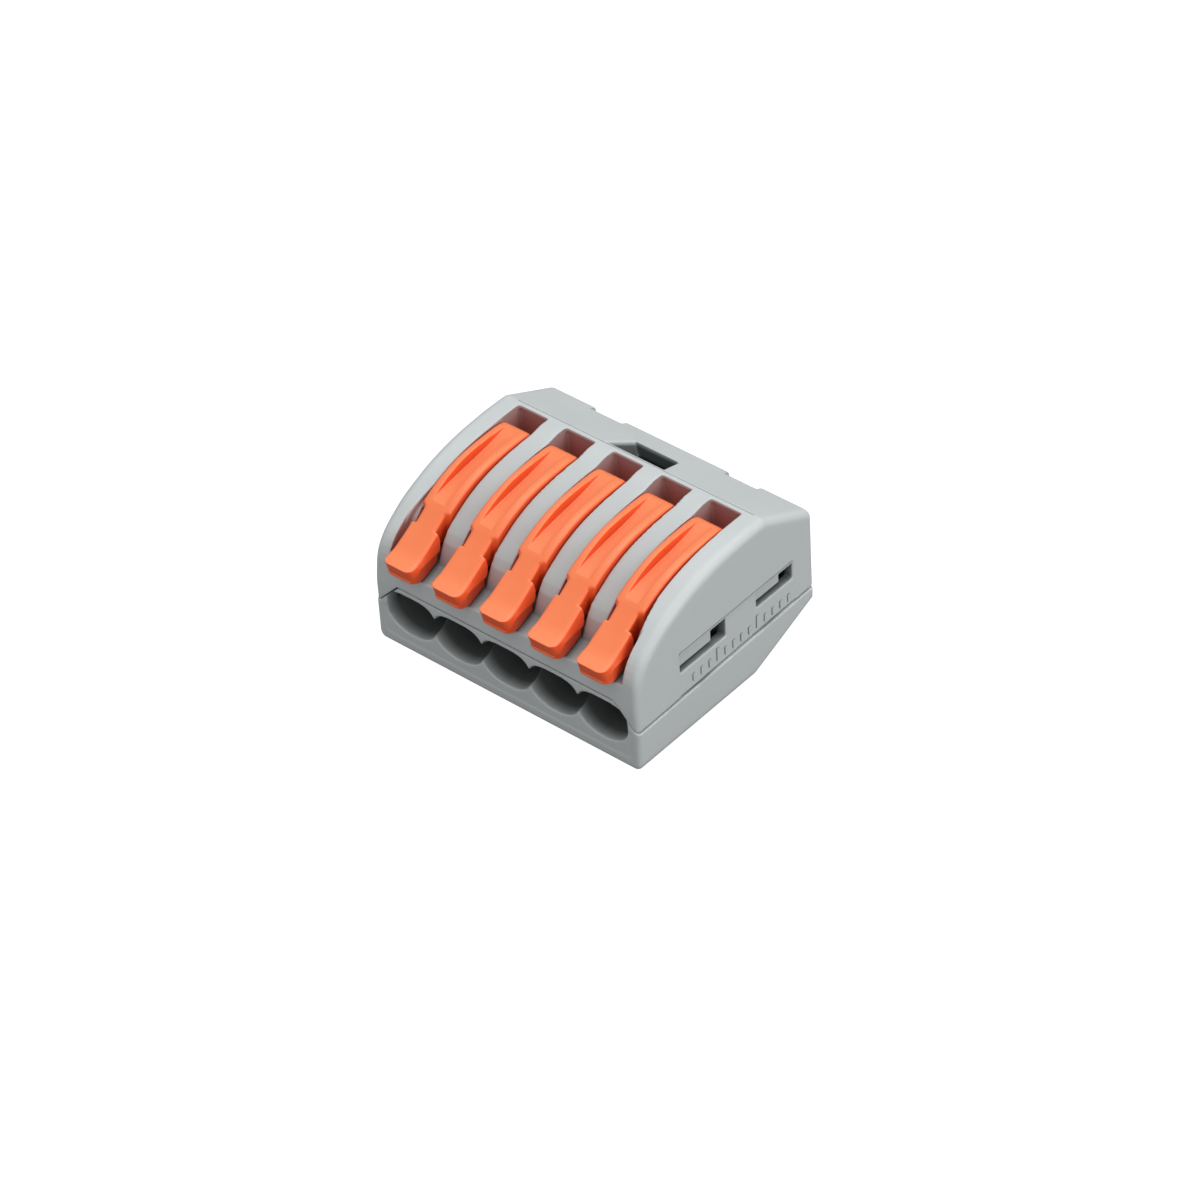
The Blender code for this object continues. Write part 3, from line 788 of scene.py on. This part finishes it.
def add_light(name, spot, size, power, aim=(0, 0, 0.005)):
    """A soft round lamp, aimed near the middle of the object. Places are in metres."""
    data = bpy.data.lights.new(name, "AREA")
    data.shape = "DISK"
    data.size = size
    data.energy = power
    light = bpy.data.objects.new(name, data)
    bpy.context.scene.collection.objects.link(light)
    light.location = spot
    direction = Vector(aim) - Vector(spot)
    light.rotation_euler = direction.to_track_quat("-Z", "Y").to_euler()


def add_floor():
    """White paper that only the camera sees as glowing, so it stays white and lights nothing."""
    bpy.ops.mesh.primitive_plane_add(size=3.0, location=(0, 0, 0))
    floor = bpy.context.object
    floor.name = "floor"
    material, tree, shader, _ = new_material("floor_paper")
    seen = add_node(tree, "ShaderNodeLightPath").outputs["Is Camera Ray"]
    shader.inputs["Base Color"].default_value = (0.2, 0.2, 0.2, 1)
    shader.inputs["Roughness"].default_value = 0.9
    shader.inputs["Specular IOR Level"].default_value = 0.1
    shader.inputs["Emission Color"].default_value = (1, 1, 1, 1)
    tree.links.new(seen, shader.inputs["Emission Strength"])
    floor.data.materials.append(material)


def set_up_world():
    """A white room, brighter in front of the object than behind it and plain white to the camera."""
    world = bpy.data.worlds.new("studio")
    world.use_nodes = True
    tree = world.node_tree
    background = tree.nodes["Background"]
    background.inputs["Color"].default_value = (1, 1, 1, 1)
    towards = add_node(tree, "ShaderNodeTexCoord").outputs["Generated"]
    forwards = add_node(tree, "ShaderNodeVectorMath", {"operation": "DOT_PRODUCT"})
    tree.links.new(towards, forwards.inputs[0])
    forwards.inputs[1].default_value = (0.0, -1.0, 0.0)
    lighting = spread(tree, forwards.outputs["Value"], -1, 1, 0.34, 0.74)
    seen = add_node(tree, "ShaderNodeLightPath").outputs["Is Camera Ray"]
    strength = add_node(tree, "ShaderNodeMix", Factor=seen, A=lighting, B=1.0)
    tree.links.new(strength.outputs["Result"], background.inputs["Strength"])
    bpy.context.scene.world = world


def set_up_stage():
    add_floor()
    set_up_world()
    bpy.context.scene.view_settings.view_transform = "Standard"
    add_light("key", (0.02, 0.08, 0.45), size=0.50, power=1.25)
    add_light("side", (0.45, 0.05, 0.22), size=0.30, power=0.92)


# ---------------------------------------------------------------- the whole scene

# Tones: main, deeper, scuffed, and the painted shade of upright faces
GREY_TONES = ((0.54, 0.572, 0.578), (0.52, 0.552, 0.558), (0.62, 0.65, 0.65), (0.53, 0.562, 0.568))
# Painted shade for the housings' recesses; the second, for the slots, is tinted as a painted
# reflection of the orange levers
GREY_RECESS_SHADES = ((0.05, 0.056, 0.056), (0.47, 0.23, 0.21))
ORANGE_TONES = ((0.92, 0.24, 0.088), (0.89, 0.215, 0.074), (0.95, 0.5, 0.36), (0.93, 0.11, 0.022))
# Painted shade for the levers' recesses
ORANGE_RECESS_SHADES = ((0.6, 0.05, 0.01), (0.6, 0.05, 0.01))

# The housing's zones are painted shade: on the partitions, on the upright walls at the slots' rear
# ends and in the test slot
grey = plastic("housing_grey", GREY_TONES, GREY_RECESS_SHADES, recess=(3.0, 0.82, 0.25),
               roughness=0.45, grain_size=0.12, grain_depth=0.006,
               zones=[(shade_between_levers, (0.43, 0.445, 0.445)), (shade_on_slot_walls, (0.3, 0.26, 0.25)),
                      (shade_below_roof, (0.05, 0.06, 0.058))])
# The tray's zone is painted shade inside it, behind the entries' rims
tray_grey = plastic("tray_grey", GREY_TONES, GREY_RECESS_SHADES, recess=(4.0, 0.85, 0.4, True),
                    roughness=0.45, grain_size=0.12, grain_depth=0.006,
                    zones=[(shade_inside_tray, (0.042, 0.047, 0.046))])
orange = plastic("lever_orange", ORANGE_TONES, ORANGE_RECESS_SHADES, recess=(3.0, 0.75, 0.2),
                 roughness=0.38, grain_size=0.10, grain_depth=0.003, glow=0.15)
steel = metal("strip_steel", colour=(0.62, 0.63, 0.64), stain=(0.5, 0.5, 0.5), roughness=0.28,
              grain=(1, 0.1, 0.1))
tinned = metal("tinned_strip", colour=(0.74, 0.69, 0.6), stain=(0.6, 0.52, 0.42), roughness=0.34,
               grain=(0.1, 1, 1))

make_upper_housing(grey)
make_lower_housing(tray_grey)
make_levers(orange)
make_springs(steel)
make_bar(tinned)
set_up_camera()
set_up_stage()
